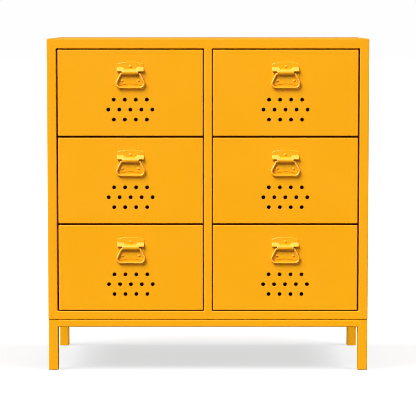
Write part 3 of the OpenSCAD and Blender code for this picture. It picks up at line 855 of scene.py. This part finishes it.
def powder_coat(name, colours, roughness, shine, ripple_depth):
    """A baked coat whose tone and gloss drift between two values, with a fine ripple."""
    material, tree = new_material(name)
    place = add_node(tree, "ShaderNodeTexCoord").outputs["Object"]
    tone, gloss, ripple = [
        add_node(tree, "ShaderNodeTexNoise", Vector=place, Scale=1 / size, Detail=2).outputs["Fac"]
        for size in (TONE_SIZE, GLOSS_SIZE, RIPPLE_SIZE)]
    share = add_node(tree, "ShaderNodeMapRange", Value=tone, **NOISE_SPAN)
    colour = add_node(tree, "ShaderNodeMix", {"data_type": "RGBA"}, Factor=share.outputs["Result"],
                      i6=linear(colours[0]), i7=linear(colours[1]))
    rough = add_node(tree, "ShaderNodeMapRange", Value=gloss, To_Min=roughness[0], To_Max=roughness[1],
                     **NOISE_SPAN)
    # The ripple gives the eye the softly broken highlights of a powder coat. It is 1 to 2 mm wide on the
    # real sheet and drawn 3 mm wide here, as less would only flicker in a small picture.
    bump = add_node(tree, "ShaderNodeBump", Height=ripple, Strength=1, Distance=ripple_depth)
    bsdf = add_node(tree, "ShaderNodeBsdfPrincipled", Base_Color=colour.outputs[2], Normal=bump.outputs[0],
                    Roughness=rough.outputs["Result"], Specular_IOR_Level=shine)
    add_node(tree, "ShaderNodeOutputMaterial", Surface=bsdf.outputs[0])
    print(material.name, "roughness", roughness, "ripple", round(ripple_depth / mm, 3), "mm deep")
    return material


coat = powder_coat("yellow_powder_coat", ("#FAAA01", "#FCAD03"), (0.28, 0.34), 0.45, 0.012 * mm)
# The handles get a coat of their own. It is glossier, which draws the white lines along the wire and part of
# the bright hoods, and its colour is a touch lighter as painted light that brightens the hoods a little
# more.
handle_coat = powder_coat("glossy_yellow_handle_coat", ("#FCAE04", "#FDB006"), (0.2, 0.26), 0.8, 0.005 * mm)

# %% [markdown]
# ## Zinc plate
# The runners, bolts and blind rivets are zinc plated: a bright grey metal whose thin bluish layer has
# cloudy patches about a fingertip wide.
# %% Zinc plate
CLOUD_SIZE = 12 * mm

zinc, tree = new_material("bright_zinc_plate")
place = add_node(tree, "ShaderNodeTexCoord").outputs["Object"]
# The cloudy patches give the eye the uneven shine of a plated part beside an even coat.
cloud = add_node(tree, "ShaderNodeTexNoise", Vector=place, Scale=1 / CLOUD_SIZE, Detail=4).outputs["Fac"]
share = add_node(tree, "ShaderNodeMapRange", Value=cloud, **NOISE_SPAN)
colour = add_node(tree, "ShaderNodeMix", {"data_type": "RGBA"}, Factor=share.outputs["Result"],
                  i6=linear("#B4B9BE"), i7=linear("#C8CCCF"))
rough = add_node(tree, "ShaderNodeMapRange", Value=cloud, To_Min=0.28, To_Max=0.42, **NOISE_SPAN)
bsdf = add_node(tree, "ShaderNodeBsdfPrincipled", Base_Color=colour.outputs[2], Metallic=1,
                Roughness=rough.outputs["Result"])
add_node(tree, "ShaderNodeOutputMaterial", Surface=bsdf.outputs[0])
print(zinc.name, "has", len(tree.nodes), "nodes")

# %% [markdown]
# ## Moulded nylon
# The plugs in the feet are moulded black nylon with the dull skin of a spark-eroded mould, which is a fine
# even grain.
# %% Moulded nylon
GRAIN_SIZE, grain_depth = 1 * mm, 0.03 * mm

nylon, tree = new_material("moulded_black_nylon")
place = add_node(tree, "ShaderNodeTexCoord").outputs["Object"]
# The grain gives the eye a dull black that still shows its form in raking light.
grain = add_node(tree, "ShaderNodeTexNoise", Vector=place, Scale=1 / GRAIN_SIZE, Detail=2).outputs["Fac"]
bump = add_node(tree, "ShaderNodeBump", Height=grain, Strength=1, Distance=grain_depth)
bsdf = add_node(tree, "ShaderNodeBsdfPrincipled", Base_Color=linear("#1C1C1E"), Roughness=0.6,
                Normal=bump.outputs[0])
add_node(tree, "ShaderNodeOutputMaterial", Surface=bsdf.outputs[0])
print(nylon.name, "has", len(tree.nodes), "nodes")

# %% [markdown]
# ## Which piece has which finish
# Almost all is coated, so only the exceptions are listed. The new pieces have no material yet and get one.
# A loaded piece keeps its material slots, and what is in them is changed.
# %% Give every piece its finish
NOT_COATED = {"back_panel_rivets": zinc, "left_column_runners": zinc, "right_column_runners": zinc,
              "stand_bolts": zinc, "foot_glides": nylon}
NOT_COATED |= {bay + node: zinc for bay in BAYS for node in ("_drawer_runners", "_ball_cages")}
for piece in pieces:
    piece.data.materials.clear()
    piece.data.materials.append(handle_coat if "handle" in piece.name or "bail" in piece.name else coat)
for name, obj in nodes.items():
    for slot in obj.material_slots:
        slot.material = NOT_COATED.get(name, coat)
print("coated", len(nodes) - len(NOT_COATED), "others", len(NOT_COATED))

# %% [markdown]
# ## Room
# The room is what lights the shadows and what the coat mirrors. The camera sees it as plain white. The
# object gets a dim even light from it. What the object mirrors is dark all round and bright overhead, like
# a studio with a light tent above the table: that draws the white lines along each barrel and wire, and
# leaves no pale sheen on the flat fronts.
# %% Room
ROOM_LIGHT = 0.38
dark_walls, bright_ceiling = 0.06, 2.1
ceiling_starts, ceiling_full = 0.5, 0.9
sides_share = 0.35
PLAIN_WHITE = (1, 1, 1, 1)

world = bpy.data.worlds.new("studio")
world.use_nodes = True
bpy.context.scene.world = world
tree = world.node_tree
tree.nodes.clear()
soft = add_node(tree, "ShaderNodeBackground", Color=PLAIN_WHITE, Strength=ROOM_LIGHT)
direction = add_node(tree, "ShaderNodeTexCoord")
towards = add_node(tree, "ShaderNodeSeparateXYZ", Vector=direction.outputs["Generated"])
sideways = add_node(tree, "ShaderNodeMath", {"operation": "ABSOLUTE"}, i0=towards.outputs["X"])
height = add_node(tree, "ShaderNodeMath", {"operation": "MULTIPLY_ADD"}, i0=sideways.outputs[0],
                  i1=sides_share, i2=towards.outputs["Z"])
ceiling = add_node(tree, "ShaderNodeMapRange", Value=height.outputs[0], From_Min=ceiling_starts,
                   From_Max=ceiling_full, To_Min=dark_walls, To_Max=bright_ceiling)
mirrored = add_node(tree, "ShaderNodeBackground", Color=PLAIN_WHITE, Strength=ceiling.outputs["Result"])
seen = add_node(tree, "ShaderNodeBackground", Color=linear("#FEFEFE"), Strength=1)
path = add_node(tree, "ShaderNodeLightPath")
unseen = add_node(tree, "ShaderNodeMixShader", i0=path.outputs["Is Glossy Ray"], i1=soft.outputs[0],
                  i2=mirrored.outputs[0])
either = add_node(tree, "ShaderNodeMixShader", i0=path.outputs["Is Camera Ray"], i1=unseen.outputs[0],
                  i2=seen.outputs[0])
add_node(tree, "ShaderNodeOutputWorld", Surface=either.outputs[0])
print("room light", ROOM_LIGHT, "overhead", bright_ceiling)

# %% [markdown]
# ## Table
# The photograph's ground is almost pure white with a soft grey shadow. To the camera the table here glows
# by two thirds and takes light and shadow with the last third. The object sees a grey table instead, since
# a white one would wash out the colour of every face that looks down or forwards.
# %% Table
table_size = 80
glow_share = 0.66

bpy.ops.mesh.primitive_plane_add(size=table_size)
floor = bpy.context.object
floor.name = "floor"
table_finish, tree = new_material("pale_table")
matt = add_node(tree, "ShaderNodeBsdfDiffuse", Color=linear("#F2F4F8"))
glow = add_node(tree, "ShaderNodeEmission", Color=PLAIN_WHITE, Strength=1)
seen = add_node(tree, "ShaderNodeMixShader", i0=glow_share, i1=matt.outputs[0], i2=glow.outputs[0])
unseen = add_node(tree, "ShaderNodeBsdfDiffuse", Color=linear("#46484C"))
path = add_node(tree, "ShaderNodeLightPath")
either = add_node(tree, "ShaderNodeMixShader", i0=path.outputs["Is Camera Ray"], i1=unseen.outputs[0],
                  i2=seen.outputs[0])
add_node(tree, "ShaderNodeOutputMaterial", Surface=either.outputs[0])
floor.data.materials.append(table_finish)
print("table", table_size, "m wide")

# %% [markdown]
# ## Lamps
# A large soft lamp stands high at the front left: the shadow of each bail falls as far to the right and
# down as the wire stands off the front. A weaker one from behind on the right keeps the far sides readable,
# and two more give only reflections, on the flanks of the wire. Some things would come out too light or too
# dark under these, so light linking gives them lamps of their own: the top panel, which faces the key lamp
# more than the fronts do, the rear right leg, which stands in the shadow, and the table.
# %% Lamps
LAMPS = [  # name, where it shines from, strength, apparent size in degrees, what it lights, with which light
    ("key", (-0.8, -1, 1.25), 4.5, 40, "cabinet", "all"),
    ("fill", (0.85, 0.65, 0.35), 2.7, 60, "cabinet", "all"),
    ("glint_left", (-0.9, -0.45, 0.35), 2, 30, "cabinet", "gloss"),
    ("glint_right", (0.9, -0.5, 0.4), 1.3, 30, "cabinet", "gloss"),
    ("top_left", (-1, -1, 0.5), 3, 40, "top_panel", "matt"),
    ("top_right", (0.85, 0.65, 0.35), 2.7, 60, "top_panel", "matt"),
    ("under", (0.15, -1, 0.05), 4, 30, "rear_right_leg", "matt"),
    ("table_left", (-0.8, -0.2, 1), 2.4, 40, "table", "all"),
    ("table_right", (0.8, -0.2, 1), 2.4, 40, "table", "all")]

top_panel = nodes["top_panel"]
receivers = {"cabinet": [obj for obj in [*nodes.values(), *pieces] if obj is not top_panel],
             "top_panel": [top_panel], "rear_right_leg": [rear_right_leg], "table": [floor]}
lit = {name: bpy.data.collections.new("lit_" + name) for name in receivers}
for name, objects in receivers.items():
    for obj in objects:
        lit[name].objects.link(obj)
for name, towards, strength, size, what, light in LAMPS:
    lamp = bpy.data.lights.new(name, "SUN")
    lamp.energy = strength
    lamp.angle = math.radians(size)
    obj = bpy.data.objects.new(name, lamp)
    obj.rotation_euler = Vector(towards).to_track_quat("Z", "Y").to_euler()
    obj.visible_glossy = light != "matt"
    obj.visible_diffuse = light != "gloss"
    obj.light_linking.receiver_collection = lit[what]
    bpy.context.scene.collection.objects.link(obj)
print("lamps", len(LAMPS), "for", list(receivers))
